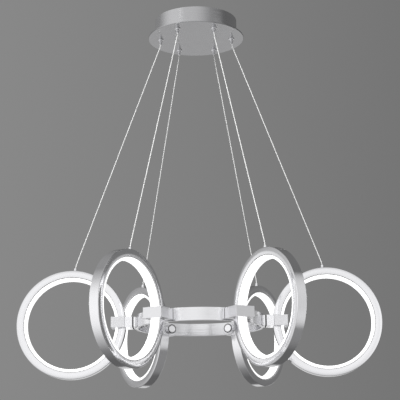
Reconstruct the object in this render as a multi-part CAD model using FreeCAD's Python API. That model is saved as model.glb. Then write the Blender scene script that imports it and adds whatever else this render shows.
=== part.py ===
import FreeCAD, Part
import math
import os

from FreeCAD import Rotation, Vector

# LED ceiling chandelier: six upright light rings stand round a flat hub band and hang by six
# taut cables from a round canopy. Millimetres, +Z up, origin at the centre of the ceiling face.
# What repeats for each ring is modelled at angle 0, in the X-Z plane, and turned about Z.

# Clearances and the overrun that every cut shares
seat_gap = 0.1        # between curved faces that seat on each other
running_gap = 0.08    # round what slides or turns in a bore
screw_gap = 0.05      # round a screw in its tapped hole
hole_gap = 0.2        # round a screw or shank in a plain hole
moving_gap = 0.3      # between a moving piece and what it passes
overrun = 2.0         # how far a cutting shape runs past a face

# The lamp as a whole
ring_count = 6
hub_drop = 658.4      # underside of the canopy disc to the hub band's mid-height
ring_drop = 2.8       # the rings' centres lie this far below the band's mid-height

# Light ring: channel, diffuser bar and light strip
ring_radius = 119.4
ring_depth = 15.2
ring_width = 22.0
ring_bevel = 0.8
ring_web = 2.0
ring_side_wall = 1.5
diffuser_proud = 7.0
diffuser_held = 5.8   # how deep the bar reaches into the channel
strip_width = 10.0
strip_thickness = 1.2
strip_break_deg = 5.0  # the strip's two ends leave this gap for the cable

# Hub band, saddles and clamps; u is the distance from the lamp's axis
hub_radius = 140.0
hub_thickness = 6.0
hub_height = 28.0
saddle_thickness = 4.5
saddle_width = 44.0
saddle_height = 22.0
collar_thickness = 1.5
collar_radius = 6.0
block_depth = 15.2    # from the rear block's back to the ring's outermost point
block_width = 44.0
clamp_height = 23.5
cover_width = 45.0
cover_length = 30.0
parting_reach = 1.8   # the parting line lies this far past the ring's outermost point
parting_gap = 0.15
clamp_gap = 0.15      # between the clamp and the ring that it holds
stud_radius = 3.0
stud_grip = 11.0      # length screwed into the rear block
clamp_screw_radius = 1.5
clamp_screw_head_radius = 2.75
clamp_screw_head_height = 3.0
clamp_screw_sink = 0.4
clamp_screw_grip = 11.0
knob_radius = 10.25
knob_thickness = 6.8
knob_bevel = 1.0
knob_recess_radius = 7.6
knob_recess_depth = 0.6
knob_grip = 4.2

# Cable and the ferrule where it enters its ring
cable_radius = 1.0
cable_bend_radius = 10.0
cable_straight = 0.5  # straight length out of a ferrule or plunger, before the bend
feed_deg = 3.35       # the cable meets the ring this far from its top, towards the hub
feed_gap = 0.3
ferrule_radius = 4.0
ferrule_height = 7.0
ferrule_bevel = 0.8
cable_tail = 8.0      # length below the ring's surface

# Canopy: cup, disc and ceiling plate
cup_radius = 94.0
cup_height = 40.5
cup_wall = 1.2
cup_floor = 1.5
disc_overhang = 16.0  # the disc's rim lies this far outside the cup
disc_thickness = 2.5
disc_bevel = 0.5
plate_gap = 4.8       # between the plate's rim and the cup's wall
plate_thickness = 1.5
ceiling_hole_radius = 2.75
ceiling_hole_inset = 18.0  # the holes' circle inside the plate's rim
ceiling_hole_count = 4
inlet_radius = 10.0
lug_width = 14.0
lug_thickness = 2.0
lug_length = 15.0
lug_root = 6.0        # how far the lug's foot overlaps the round plate
lug_clearance = 0.6   # between the lug's flat outside and the cup's wall
set_screw_radius = 2.0
set_screw_length = 8.0
set_screw_depth = 9.0  # below the ceiling

# Cable grippers
gripper_inset = 12.0  # the grippers' circle inside the cup's outside
flange_radius = 6.5
flange_thickness = 2.0
barrel_radius = 4.2
barrel_length = 5.0
barrel_bevel = 0.6
shank_radius = 5.0
shank_length = 9.0    # above the disc's underside
nut_width = 14.0
nut_height = 4.0
cable_bore_gap = 0.3
plunger_radius = 2.77
plunger_tip = 5.5     # sticks out below the barrel
plunger_tail = 8.0    # lies inside the body
plunger_bevel = 0.7
plunger_bore_length = 11.0
spring_radius = 2.6
spring_wall = 0.9
spring_gap = 0.05

# What the canopy hides
driver_length = 110.0
driver_width = 38.0
driver_height = 18.0
driver_offset = 31.0
driver_corner = 4.0
ear_length = 8.0
ear_width = 12.0
ear_thickness = 1.5
driver_screw_radius = 1.5
driver_screw_head_radius = 2.8
driver_screw_head_height = 1.8
driver_screw_grip = 1.3
terminal_length = 30.0
terminal_width = 14.0
terminal_height = 14.0
terminal_offset = 37.0
terminal_ways = 3
terminal_pitch = 9.0
terminal_bore_radius = 1.8
terminal_bore_depth = 5.0
junction_radius = 22.0
junction_height = 8.0
junction_depth = 20.0  # its top lies this far below the ceiling
junction_bore_depth = 6.0
junction_bore_gap = 0.1
junction_end_gap = 1.0
junction_leg_radius = 3.0
junction_leg_circle = 16.0
junction_leg_angles_deg = (210.0, 270.0, 330.0)
cable_level = 23.0    # the cables run to the junction this far below the ceiling
mains_lead_radius = 2.0
low_lead_radius = 1.5
lead_end_gap = 0.05
lead_bend_share = 0.45

# Places worked out from the sizes above
cup_floor_z = -cup_height
disc_z = cup_floor_z - disc_thickness
hub_z = disc_z - hub_drop
ring_z = hub_z - ring_drop
saddle_u = hub_radius + saddle_thickness
block_u = saddle_u + collar_thickness
ring_centre = block_u + block_depth + ring_radius
channel_radius = ring_radius - ring_depth
diffuser_radius = channel_radius - diffuser_proud
bar_radius = channel_radius + diffuser_held
web_radius = ring_radius - ring_web
parting_u = ring_centre - ring_radius + parting_reach
cover_end_u = parting_u + cover_length
clamp_screw_v = (ring_width + cover_width) / 4
hub_inner_radius = hub_radius - hub_thickness
knob_face_u = math.sqrt(hub_inner_radius ** 2 - knob_radius ** 2) - moving_gap
disc_radius = cup_radius + disc_overhang
plate_radius = cup_radius - cup_wall - plate_gap
ceiling_hole_circle = plate_radius - ceiling_hole_inset
gripper_circle = cup_radius - gripper_inset
barrel_z = disc_z - flange_thickness - barrel_length
body_top_z = disc_z + shank_length
plunger_bore_top_z = barrel_z + plunger_bore_length
plunger_tip_z = barrel_z - plunger_tip
plunger_top_z = barrel_z + plunger_tail
feed_u = ring_centre - ring_radius * math.sin(math.radians(feed_deg))
feed_z = ring_z + ring_radius * math.cos(math.radians(feed_deg))
X = Vector(1, 0, 0)
Y = Vector(0, 1, 0)
Z = Vector(0, 0, 1)
ORIGIN = Vector(0, 0, 0)


def block(x, y, z):
    """A box from its three pairs of limits."""
    return Part.makeBox(x[1] - x[0], y[1] - y[0], z[1] - z[0], Vector(x[0], y[0], z[0]))


def rod(radius, start, end):
    """A round bar between two points."""
    run = end - start
    return Part.makeCylinder(radius, run.Length, start, run)


def turned(outline, centre, across, axis):
    """The outline's points, each a distance from the axis and a place along it, turned full circle."""
    points = [centre + across * r + axis * h for r, h in outline]
    face = Part.Face(Part.makePolygon(points + points[:1]))
    return face.revolve(centre, axis, 360)


def upright(outline, u):
    """A turned piece about the vertical line at distance u from the lamp's axis."""
    return turned(outline, Vector(u, 0, 0), X, Z)


def round_ring(outline):
    """A turned piece about the light ring's own axis, which is level."""
    return turned(outline, Vector(ring_centre, 0, ring_z), X, Y)


def radial(outline):
    """A turned piece about the stud's level line, from the lamp's axis outwards."""
    return turned(outline, Vector(0, 0, hub_z), Z, X)


def place(shape, angle_deg):
    """The shape turned about the lamp's axis."""
    copy = shape.copy()
    copy.rotate(ORIGIN, Z, angle_deg)
    return copy


def all_round(shape):
    """One copy of the shape for each ring."""
    return [place(shape, 360 * k / ring_count) for k in range(ring_count)]


def tube(name, points, radius, bends):
    """A cord of straight runs and tangent arcs, with its radii and volume printed."""
    edges = []
    here = points[0]
    long = 0.0
    for before, corner, after, bend in zip(points, points[1:], points[2:], bends):
        back = (before - corner).normalize()
        ahead = (after - corner).normalize()
        half_turn = (math.pi - back.getAngle(ahead)) / 2
        setback = bend * math.tan(half_turn)
        start = corner + back * setback
        end = corner + ahead * setback
        inward = (back + ahead).normalize()
        middle = corner + inward * (bend / math.cos(half_turn) - bend)
        edges.append(Part.LineSegment(here, start).toShape())
        edges.append(Part.Arc(start, middle, end).toShape())
        long += (start - here).Length + 2 * half_turn * bend
        here = end
    edges.append(Part.LineSegment(here, points[-1]).toShape())
    long += (points[-1] - here).Length
    section = Part.Wire(Part.makeCircle(radius, points[0], points[1] - points[0]))
    solid = Part.Wire(edges).makePipeShell([section], True, False)
    expected = math.pi * radius ** 2 * long
    print(name, "length", round(long, 2), "bends", [round(b, 1) for b in bends],
          "volume over section times length", round(solid.Volume / expected, 4))
    return solid


def bends_by_share(points):
    """Bend radii as large as the runs beside each corner allow."""
    bends = []
    for before, corner, after in zip(points, points[1:], points[2:]):
        half_turn = (math.pi - (before - corner).getAngle(after - corner)) / 2
        shorter = min((before - corner).Length, (after - corner).Length)
        bends.append(lead_bend_share * shorter / math.tan(half_turn))
    return bends


# Light ring

def ring_housing():
    """A U channel rolled to a ring, open inwards, with bevelled outer edges and a cable hole."""
    half = ring_width / 2
    inside = half - ring_side_wall
    channel = round_ring([
        (channel_radius, -half), (ring_radius - ring_bevel, -half),
        (ring_radius, ring_bevel - half), (ring_radius, half - ring_bevel),
        (ring_radius - ring_bevel, half), (channel_radius, half),
        (channel_radius, inside), (web_radius, inside),
        (web_radius, -inside), (channel_radius, -inside)])
    hole = rod(cable_radius + feed_gap, Vector(feed_u, 0, feed_z - ring_depth),
               Vector(feed_u, 0, feed_z + overrun))
    return channel.cut(hole)


def ring_diffuser():
    """An opal bar rolled to a ring, held between the channel's side walls and standing proud."""
    half = ring_width / 2 - ring_side_wall - seat_gap
    return round_ring([(diffuser_radius, -half), (bar_radius, -half),
                       (bar_radius, half), (diffuser_radius, half)])


def led_strip():
    """A flat strip on the web's inside, with its break at the cable."""
    half = strip_width / 2
    outer = web_radius - seat_gap
    inner = outer - strip_thickness
    centre = Vector(ring_centre, 0, ring_z)
    start = Rotation(Y, strip_break_deg / 2 - feed_deg).multVec(Z)
    corners = [centre + start * r + Y * v for r, v in
               [(inner, -half), (outer, -half), (outer, half), (inner, half)]]
    face = Part.Face(Part.makePolygon(corners + corners[:1]))
    return face.revolve(centre, Y, 360 - strip_break_deg)


def cable_ferrule():
    """A round ferrule that stands upright on the ring, with its foot cut to the ring's curve."""
    top = feed_z + ferrule_height
    bore = cable_radius + seat_gap
    blank = upright([
        (bore, feed_z - overrun), (ferrule_radius, feed_z - overrun),
        (ferrule_radius, top - ferrule_bevel), (ferrule_radius - ferrule_bevel, top),
        (bore, top)], feed_u)
    seat = Part.makeCylinder(ring_radius + screw_gap, ring_width,
                             Vector(ring_centre, -ring_width / 2, ring_z), Y)
    return blank.cut(seat)


# Hub band and clamps

def hub_ring():
    """A flat band with a stud hole for each clamp."""
    band = upright([
        (hub_inner_radius, hub_z - hub_height / 2), (hub_radius, hub_z - hub_height / 2),
        (hub_radius, hub_z + hub_height / 2), (hub_inner_radius, hub_z + hub_height / 2)], 0)
    hole = stud_hole(hub_inner_radius - overrun, hub_radius + overrun, hole_gap)
    return band.cut(all_round(hole))


def stud_hole(start_u, end_u, gap):
    """A level hole on the stud's line."""
    return rod(stud_radius + gap, Vector(start_u, 0, hub_z), Vector(end_u, 0, hub_z))


def clamp_box(u, width, height):
    """A box centred on the stud's line."""
    return block(u, (-width / 2, width / 2), (hub_z - height / 2, hub_z + height / 2))


def hub_saddle():
    """A saddle whose hollow back sits on the band."""
    blank = clamp_box((hub_inner_radius, saddle_u), saddle_width, saddle_height)
    band = Part.makeCylinder(hub_radius + seat_gap, hub_height,
                             Vector(0, 0, hub_z - hub_height / 2), Z)
    return blank.cut(band).cut(stud_hole(hub_radius - overrun, saddle_u + overrun, hole_gap))


def clamp_stud():
    """A stud from the knob into the rear block, with a collar that spaces block and saddle."""
    start = knob_face_u - knob_grip
    return radial([
        (0, start), (stud_radius, start), (stud_radius, saddle_u), (collar_radius, saddle_u),
        (collar_radius, block_u), (stud_radius, block_u), (stud_radius, block_u + stud_grip),
        (0, block_u + stud_grip)])


def screw_lines():
    """The two level lines, one each side of the ring, that the clamp's screws lie on."""
    return [Vector(0, side * clamp_screw_v, hub_z) for side in (-1, 1)]


def screw_floor_u():
    """Where a clamp screw's head seats in the rear block."""
    return block_u + clamp_screw_sink + clamp_screw_head_height


def clamp_block():
    """The rear half of a clamp, hollowed where the ring's outside seats."""
    half = ring_width / 2 + clamp_gap
    piece = clamp_box((block_u, parting_u - parting_gap), block_width, clamp_height)
    piece = piece.cut(round_ring([(0, -half), (ring_radius + clamp_gap, -half),
                                  (ring_radius + clamp_gap, half), (0, half)]))
    piece = piece.cut(stud_hole(block_u - overrun, block_u + stud_grip + screw_gap, screw_gap))
    for line in screw_lines():
        piece = piece.cut(rod(clamp_screw_radius + hole_gap, line + X * (block_u - overrun),
                              line + X * (parting_u + overrun)))
        piece = piece.cut(rod(clamp_screw_head_radius + hole_gap, line + X * (block_u - overrun),
                              line + X * screw_floor_u()))
    return piece


def clamp_cover():
    """The front half of a clamp: a U that the ring passes through from top to bottom."""
    half = ring_width / 2 + clamp_gap
    piece = clamp_box((parting_u, cover_end_u), cover_width, clamp_height)
    piece = piece.cut(round_ring([
        (diffuser_radius - clamp_gap, -half), (ring_radius + overrun, -half),
        (ring_radius + overrun, half), (diffuser_radius - clamp_gap, half)]))
    for line in screw_lines():
        piece = piece.cut(rod(clamp_screw_radius + screw_gap, line + X * (parting_u - overrun),
                              line + X * (parting_u + clamp_screw_grip + screw_gap)))
    return piece


def clamp_screws():
    """The two screws of one clamp."""
    floor = screw_floor_u()
    shapes = []
    for line in screw_lines():
        head = rod(clamp_screw_head_radius, line + X * (floor - clamp_screw_head_height),
                   line + X * floor)
        shank = rod(clamp_screw_radius, line + X * floor,
                    line + X * (parting_u + clamp_screw_grip))
        shapes.append(head.fuse(shank).removeSplitter())
    return shapes


def knob():
    """A round locking knob on the band's inside, dished in front, with a blind bore behind."""
    front = knob_face_u - knob_thickness
    bore = stud_radius + running_gap
    bore_end = knob_face_u - knob_grip - running_gap
    return radial([
        (0, front + knob_recess_depth), (knob_recess_radius, front + knob_recess_depth),
        (knob_recess_radius, front), (knob_radius - knob_bevel, front),
        (knob_radius, front + knob_bevel), (knob_radius, knob_face_u),
        (bore, knob_face_u), (bore, bore_end), (0, bore_end)])


# Canopy

def gripper_hole(low, high):
    """A hole for a gripper's shank between two heights."""
    return rod(shank_radius + hole_gap, Vector(gripper_circle, 0, low),
               Vector(gripper_circle, 0, high))


def canopy_shell():
    """A spun cup with six shank holes in its floor and two screw holes in its wall."""
    inner = cup_radius - cup_wall
    cup = upright([(0, cup_floor_z), (cup_radius, cup_floor_z), (cup_radius, 0), (inner, 0),
                   (inner, cup_floor_z + cup_floor), (0, cup_floor_z + cup_floor)], 0)
    holes = all_round(gripper_hole(cup_floor_z - overrun, cup_floor_z + cup_floor + overrun))
    for angle in (0, 180):
        holes.append(place(set_screw(hole_gap, inner - overrun, cup_radius + overrun), angle))
    return cup.cut(holes)


def canopy_disc():
    """A flat disc, wider than the cup, with a bevelled lower edge."""
    disc = upright([(0, disc_z), (disc_radius - disc_bevel, disc_z),
                    (disc_radius, disc_z + disc_bevel), (disc_radius, cup_floor_z),
                    (0, cup_floor_z)], 0)
    return disc.cut(all_round(gripper_hole(disc_z - overrun, cup_floor_z + overrun)))


def set_screw(gap, start_u, end_u):
    """A screw, or its hole, on the set screws' level line."""
    return rod(set_screw_radius + gap, Vector(start_u, 0, -set_screw_depth),
               Vector(end_u, 0, -set_screw_depth))


def lug_outside():
    """Where the lug's flat outside lies, clear of the cup's round wall."""
    return cup_radius - cup_wall - lug_clearance


def mounting_plate():
    """A round plate with ceiling holes, a cable inlet and two lugs bent down at its rim."""
    plate = Part.makeCylinder(plate_radius, plate_thickness, Vector(0, 0, -plate_thickness), Z)
    outside = lug_outside()
    across = (-lug_width / 2, lug_width / 2)
    foot = block((plate_radius - lug_root, outside), across, (-plate_thickness, 0))
    leg = block((outside - lug_thickness, outside), across, (-lug_length, 0))
    lug = foot.fuse(leg)
    plate = plate.fuse([place(lug, 0), place(lug, 180)]).removeSplitter()
    low = Vector(0, 0, -plate_thickness - overrun)
    high = Vector(0, 0, overrun)
    cuts = [rod(inlet_radius, low, high)]
    hole = rod(ceiling_hole_radius, low + X * ceiling_hole_circle, high + X * ceiling_hole_circle)
    cuts += [place(hole, 360 * k / ceiling_hole_count) for k in range(ceiling_hole_count)]
    cuts += [rod(driver_screw_radius + screw_gap, low + at, high + at) for at in ear_places()]
    tapped = set_screw(screw_gap, outside - lug_thickness - overrun, outside + overrun)
    cuts += [place(tapped, 0), place(tapped, 180)]
    return plate.cut(cuts)


def gripper_body():
    """A turned gripper: flange, barrel below it and shank above, bored for plunger and cable."""
    bore = plunger_radius + running_gap
    cable_bore = cable_radius + cable_bore_gap
    flange_z = disc_z - flange_thickness
    return upright([
        (bore, barrel_z), (barrel_radius - barrel_bevel, barrel_z),
        (barrel_radius, barrel_z + barrel_bevel), (barrel_radius, flange_z),
        (flange_radius, flange_z), (flange_radius, disc_z), (shank_radius, disc_z),
        (shank_radius, body_top_z), (cable_bore, body_top_z), (cable_bore, plunger_bore_top_z),
        (bore, plunger_bore_top_z)], gripper_circle)


def gripper_nut():
    """A hexagon nut that clamps cup and disc against the flange."""
    low = cup_floor_z + cup_floor
    corner = nut_width / math.sqrt(3)
    centre = Vector(gripper_circle, 0, low)
    corners = [centre + Vector(corner * math.cos(math.pi * k / 3),
                               corner * math.sin(math.pi * k / 3), 0) for k in range(6)]
    hexagon = Part.Face(Part.makePolygon(corners + corners[:1])).extrude(Z * nut_height)
    return hexagon.cut(rod(shank_radius + screw_gap, centre - Z * overrun,
                           centre + Z * (nut_height + overrun)))


def gripper_plunger():
    """The release plunger, bored for the cable."""
    bore = cable_radius + cable_bore_gap
    return upright([
        (bore, plunger_tip_z), (plunger_radius - plunger_bevel, plunger_tip_z),
        (plunger_radius, plunger_tip_z + plunger_bevel), (plunger_radius, plunger_top_z),
        (bore, plunger_top_z)], gripper_circle)


def gripper_spring():
    """The space of the return spring between plunger and body, as a sleeve."""
    inner = spring_radius - spring_wall
    low = plunger_top_z + spring_gap
    return upright([(inner, low), (spring_radius, low), (spring_radius, plunger_bore_top_z),
                    (inner, plunger_bore_top_z)], gripper_circle)


def suspension_cable(name):
    """The cable from inside its ring, up the slope, through the gripper and in to the junction."""
    ferrule_top = feed_z + ferrule_height
    low = Vector(feed_u, 0, ferrule_top)
    high = Vector(gripper_circle, 0, plunger_tip_z)
    slope = (high - low).getAngle(Z)
    setback = cable_straight + cable_bend_radius * math.tan(slope / 2)
    points = [
        Vector(feed_u, 0, feed_z - cable_tail), low + Z * setback, high - Z * setback,
        Vector(gripper_circle, 0, -cable_level),
        Vector(junction_radius - junction_bore_depth + junction_end_gap, 0, -cable_level)]
    return tube(name, points, cable_radius, [cable_bend_radius] * 3)


# What the canopy hides

def ear_places():
    """The screw places of the driver's two ears."""
    reach = driver_length / 2 + ear_length / 2
    return [Vector(side * reach, driver_offset, 0) for side in (-1, 1)]


def led_driver():
    """A driver case with rounded corners and a fixing ear at each end."""
    half = driver_length / 2
    side = (driver_offset - driver_width / 2, driver_offset + driver_width / 2)
    top = -plate_thickness
    case = block((-half, half), side, (top - driver_height, top))
    case = case.makeFillet(driver_corner, [e for e in case.Edges
                                           if abs(e.tangentAt(e.FirstParameter).z) > 0.5])
    ear = block((-half - ear_length, half + ear_length),
                (driver_offset - ear_width / 2, driver_offset + ear_width / 2),
                (top - ear_thickness, top))
    case = case.fuse(ear).removeSplitter()
    for at in ear_places():
        case = case.cut(rod(driver_screw_radius + hole_gap,
                            at + Z * (top - ear_thickness - overrun), at + Z * overrun))
    return case


def driver_screws():
    """The two screws that hold the driver's ears to the plate."""
    seat = -plate_thickness - ear_thickness
    shapes = []
    for at in ear_places():
        head = rod(driver_screw_head_radius, at + Z * (seat - driver_screw_head_height),
                   at + Z * seat)
        shank = rod(driver_screw_radius, at + Z * seat,
                    at + Z * (seat + ear_thickness + driver_screw_grip))
        shapes.append(head.fuse(shank).removeSplitter())
    return shapes


def mains_terminal():
    """A terminal block with a wire bore for each way on the side away from the driver."""
    top = -plate_thickness
    far = -terminal_offset - terminal_width / 2
    case = block((-terminal_length / 2, terminal_length / 2), (far, far + terminal_width),
                 (top - terminal_height, top))
    for way in range(terminal_ways):
        x = (way - (terminal_ways - 1) / 2) * terminal_pitch
        level = top - terminal_height / 2
        case = case.cut(rod(terminal_bore_radius, Vector(x, far - overrun, level),
                            Vector(x, far + terminal_bore_depth, level)))
    return case


def junction_box():
    """A moulded puck on three legs, with a cable bore towards each gripper."""
    puck = Part.makeCylinder(junction_radius, junction_height,
                             Vector(0, 0, -junction_depth - junction_height), Z)
    legs = []
    for angle in junction_leg_angles_deg:
        foot = Rotation(Z, angle).multVec(X * junction_leg_circle)
        legs.append(rod(junction_leg_radius, foot - Z * (junction_depth + overrun),
                        foot - Z * plate_thickness))
    puck = puck.fuse(legs)
    bore = rod(cable_radius + junction_bore_gap,
               Vector(junction_radius - junction_bore_depth, 0, -cable_level),
               Vector(junction_radius + overrun, 0, -cable_level))
    return puck.cut(all_round(bore))


def driver_leads():
    """The mains lead and the low-voltage lead; their points are chosen by hand."""
    face_y = driver_offset - driver_width / 2 - lead_end_gap
    terminal_y = terminal_width / 2 - terminal_offset + lead_end_gap
    mains = [Vector(9, terminal_y, -9), Vector(9, -20, -9), Vector(28, -10, -10),
             Vector(40, 0, -10), Vector(40, face_y, -10)]
    entry = Rotation(Z, junction_leg_angles_deg[0]).multVec(X)
    low = [Vector(-40, face_y, -10), Vector(-40, 0, -10), Vector(-41, -12, -16),
           entry * (junction_radius + 16) - Z * 24,
           entry * (junction_radius + lead_end_gap) - Z * 24]
    return [tube("mains lead", mains, mains_lead_radius, bends_by_share(mains)),
            tube("low-voltage lead", low, low_lead_radius, bends_by_share(low))]


def write(name, *shapes):
    """Writes one node: a solid, or a group of separate solids."""
    solids = [s for shape in shapes for s in shape.Solids]
    for solid in solids:
        assert solid.isValid(), name
    whole = solids[0] if len(solids) == 1 else Part.makeCompound(solids)
    whole.exportStep("parts/" + name + ".step")


def write_each(name, shape):
    """Writes the shape once for each ring, each time as a node of its own."""
    for k, copy in enumerate(all_round(shape), 1):
        write(name + "_" + str(k), copy)


os.makedirs("parts", exist_ok=True)
write("mounting_plate", mounting_plate())
write("canopy_shell", canopy_shell())
write("canopy_disc", canopy_disc())
screw = set_screw(0, cup_radius - set_screw_length, cup_radius)
write("canopy_set_screws", place(screw, 0), place(screw, 180))
write("led_driver", led_driver())
write("driver_screws", *driver_screws())
write("mains_terminal", mains_terminal())
write("junction_box", junction_box())
write("driver_leads", *driver_leads())
write("gripper_bodies", *all_round(gripper_body()))
write("gripper_nuts", *all_round(gripper_nut()))
write("hub_ring", hub_ring())
write("hub_saddles", *all_round(hub_saddle()))
write("clamp_studs", *all_round(clamp_stud()))
write("clamp_blocks", *all_round(clamp_block()))
write("clamp_screws", *[s for screw in clamp_screws() for s in all_round(screw)])
write("cable_ferrules", *all_round(cable_ferrule()))
write("led_strips", *all_round(led_strip()))
write_each("ring_housing", ring_housing())
write_each("ring_diffuser", ring_diffuser())
write_each("clamp_cover", clamp_cover())
write_each("knob", knob())
write_each("gripper_plunger", gripper_plunger())
write_each("gripper_spring", gripper_spring())
write_each("suspension_cable", suspension_cable("suspension cable"))
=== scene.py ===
import math

import bpy
import numpy as np
from mathutils import Matrix, Vector


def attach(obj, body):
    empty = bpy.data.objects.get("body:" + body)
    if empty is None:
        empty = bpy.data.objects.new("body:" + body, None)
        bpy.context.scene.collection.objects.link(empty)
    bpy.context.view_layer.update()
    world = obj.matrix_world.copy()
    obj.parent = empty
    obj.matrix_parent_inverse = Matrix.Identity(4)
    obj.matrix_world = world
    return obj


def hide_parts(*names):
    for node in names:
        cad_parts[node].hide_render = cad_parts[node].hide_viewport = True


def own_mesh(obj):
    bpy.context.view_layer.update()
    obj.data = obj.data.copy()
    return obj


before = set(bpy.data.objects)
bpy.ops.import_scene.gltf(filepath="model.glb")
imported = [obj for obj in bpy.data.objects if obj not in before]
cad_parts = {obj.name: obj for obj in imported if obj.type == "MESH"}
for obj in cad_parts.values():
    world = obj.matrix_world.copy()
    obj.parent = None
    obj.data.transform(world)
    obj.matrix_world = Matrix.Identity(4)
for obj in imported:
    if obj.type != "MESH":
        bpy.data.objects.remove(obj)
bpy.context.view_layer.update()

# LED ceiling chandelier: six upright light rings round a flat hub band, hung from a round canopy.
# Shapes are worked out in millimetres and stored in metres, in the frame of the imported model.
MM = 0.001

# Lamp as a whole
RINGS = 6
SPAN_RADIUS = 400.0
CANOPY_DEPTH = 43.0
CUP_RADIUS = 94.0
HUB_DROP = 658.4
RING_DROP = 2.8
HUB_Z = -CANOPY_DEPTH - HUB_DROP
RING_Z = HUB_Z - RING_DROP

# Light ring
RING_RADIUS = 119.4
RING_WIDTH = 22.0
CHANNEL_RADIUS = 104.2
RING_BEVEL = 1.0
RING_WEB = 2.0
RING_WALL = 1.5
RING_LEAN = 0.16
DIFFUSER_RADIUS = 97.2
BAR_RADIUS = 110.0
BAR_HALF = 9.4
RING_CENTRE = SPAN_RADIUS - RING_RADIUS
RING_STEPS = 192

# Painted shade on the diffuser where it enters the channel, a dark line in its glow and colour:
# width, fade, glow and colour
LIP_SHADE = 1.3
LIP_SOFT = 0.3
LIP_SHADE_GLOW = 0.08
LIP_SHADE_COLOUR = 0.2

# Hub band and clamps; u is the distance from the lamp's axis
HUB_RADIUS = 140.0
HUB_THICKNESS = 6.0
HUB_HEIGHT = 28.0
HUB_STEPS = 240
SADDLE_GAP = 0.1
SADDLE_U = 143.8
SADDLE_WIDTH = 44.0
SADDLE_HEIGHT = 22.0
SADDLE_STEPS = 12
BLOCK_U = 146.2
BLOCK_WIDTH = 44.0
CLAMP_HEIGHT = 23.5
PARTING_U = 163.0
PARTING_GAP = 0.15
CLAMP_GAP = 0.15
PAD_START = 9.0
PAD_INSET = 0.4
PAD_GAP = 0.05
COVER_WIDTH = 45.0
COVER_END_U = 193.0
KNOB_RADIUS = 10.25
KNOB_GAP = 0.3
KNOB_HEIGHT = 6.8
KNOB_DISH = 0.3
KNOB_BEVEL = 2.0
KNOB_FACE_U = math.sqrt((HUB_RADIUS - HUB_THICKNESS) ** 2 - KNOB_RADIUS ** 2) - KNOB_GAP
KNOB_FRONT_U = KNOB_FACE_U - KNOB_HEIGHT

# Grippers: flange, barrel and tip each go down from the one before, the shank goes up from the
# disc's underside, and plunger and bore go up from the barrel's end
GRIPPER_CIRCLE = 82.0
FLANGE_HEIGHT = 2.0
BARREL_HEIGHT = 5.0
TIP_HEIGHT = 5.5
SHANK_HEIGHT = 9.0
PLUNGER_DEPTH = 8.0
BORE_DEPTH = 11.0
FLANGE_RADIUS = 6.5
BARREL_RADIUS = 4.2
SHANK_RADIUS = 5.0
BORE_RADIUS = 2.85
PLUNGER_RADIUS = 2.77
CABLE_BORE = 1.3
FLANGE_Z = -CANOPY_DEPTH - FLANGE_HEIGHT
BARREL_Z = FLANGE_Z - BARREL_HEIGHT
TIP_Z = BARREL_Z - TIP_HEIGHT
PLUNGER_TOP_Z = BARREL_Z + PLUNGER_DEPTH
BODY_TOP_Z = -CANOPY_DEPTH + SHANK_HEIGHT
SPRING_TOP_Z = BARREL_Z + BORE_DEPTH
SPRING_GAP = 0.05
SPRING_RADIUS = 2.15
SPRING_WIRE = 0.28
SPRING_TURNS = 3

# Cables and ferrules; a cable's line starts inside the junction box and ends inside the ring
CABLE_RADIUS = 1.0
CABLE_LEVEL = -23.0
CABLE_START_U = 17.0
CABLE_END = 8.0
CABLE_BEND = 2.29
CABLE_STRAIGHT = 12.0
FEED_ANGLE = math.radians(3.35)
FEED_U = RING_CENTRE - RING_RADIUS * math.sin(FEED_ANGLE)
FEED_Z = RING_Z + RING_RADIUS * math.cos(FEED_ANGLE)
FERRULE_RADIUS = 4.0
FERRULE_NECK = 3.3
FERRULE_BORE = 1.1
FERRULE_FOOT = 1.0
FERRULE_COLLAR = 2.4
FERRULE_SHOULDER = 3.0
FERRULE_GAP = 0.05
FERRULE_TOP = FEED_Z + 7.0

# Set screws in the canopy's wall
SET_SCREW_RADIUS = 2.0
SET_SCREW_LENGTH = 8.0
SET_SCREW_DEPTH = 9.0
SOCKET_RADIUS = 1.15
SOCKET_DEPTH = 1.8

X = np.array([1.0, 0.0, 0.0])
Y = np.array([0.0, 1.0, 0.0])
Z = np.array([0.0, 0.0, 1.0])


# Skins: points, faces, and for each face corner its place on the surface

class Skin:
    """A surface in millimetres with its normals, the direction across its grain and its UVs."""

    def __init__(self, points, normals, across, faces, uvs):
        self.points, self.normals, self.across = points, normals, across
        self.faces, self.uvs = faces, uvs

    def mapped(self, turn):
        """The skin with its points and directions turned by a 3 by 3 matrix."""
        return Skin(self.points @ turn.T, self.normals @ turn.T, self.across @ turn.T,
                    self.faces, self.uvs)

    def placed(self, k):
        """The skin turned about the lamp's axis to ring k, where ring 1 is at angle 0."""
        return self.mapped(ring_turn(k))


def about_z(degrees):
    """The matrix of a turn about the vertical."""
    c, s = math.cos(math.radians(degrees)), math.sin(math.radians(degrees))
    return np.array([[c, -s, 0.0], [s, c, 0.0], [0.0, 0.0, 1.0]])


def ring_turn(k):
    """The matrix of the turn from ring 1 to ring k."""
    return about_z(360 * (k - 1) / RINGS)


def joined(skins):
    """Several skins as one."""
    offsets = np.cumsum([0] + [len(s.points) for s in skins[:-1]])
    faces = [[i + int(o) for i in f] for s, o in zip(skins, offsets) for f in s.faces]
    return Skin(*(np.concatenate([getattr(s, k) for s in skins])
                  for k in ("points", "normals", "across")), faces,
                np.concatenate([s.uvs for s in skins]))


def all_round(skin):
    """One copy of the skin for each ring, as one skin."""
    return joined([skin.placed(k) for k in range(1, RINGS + 1)])


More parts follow.
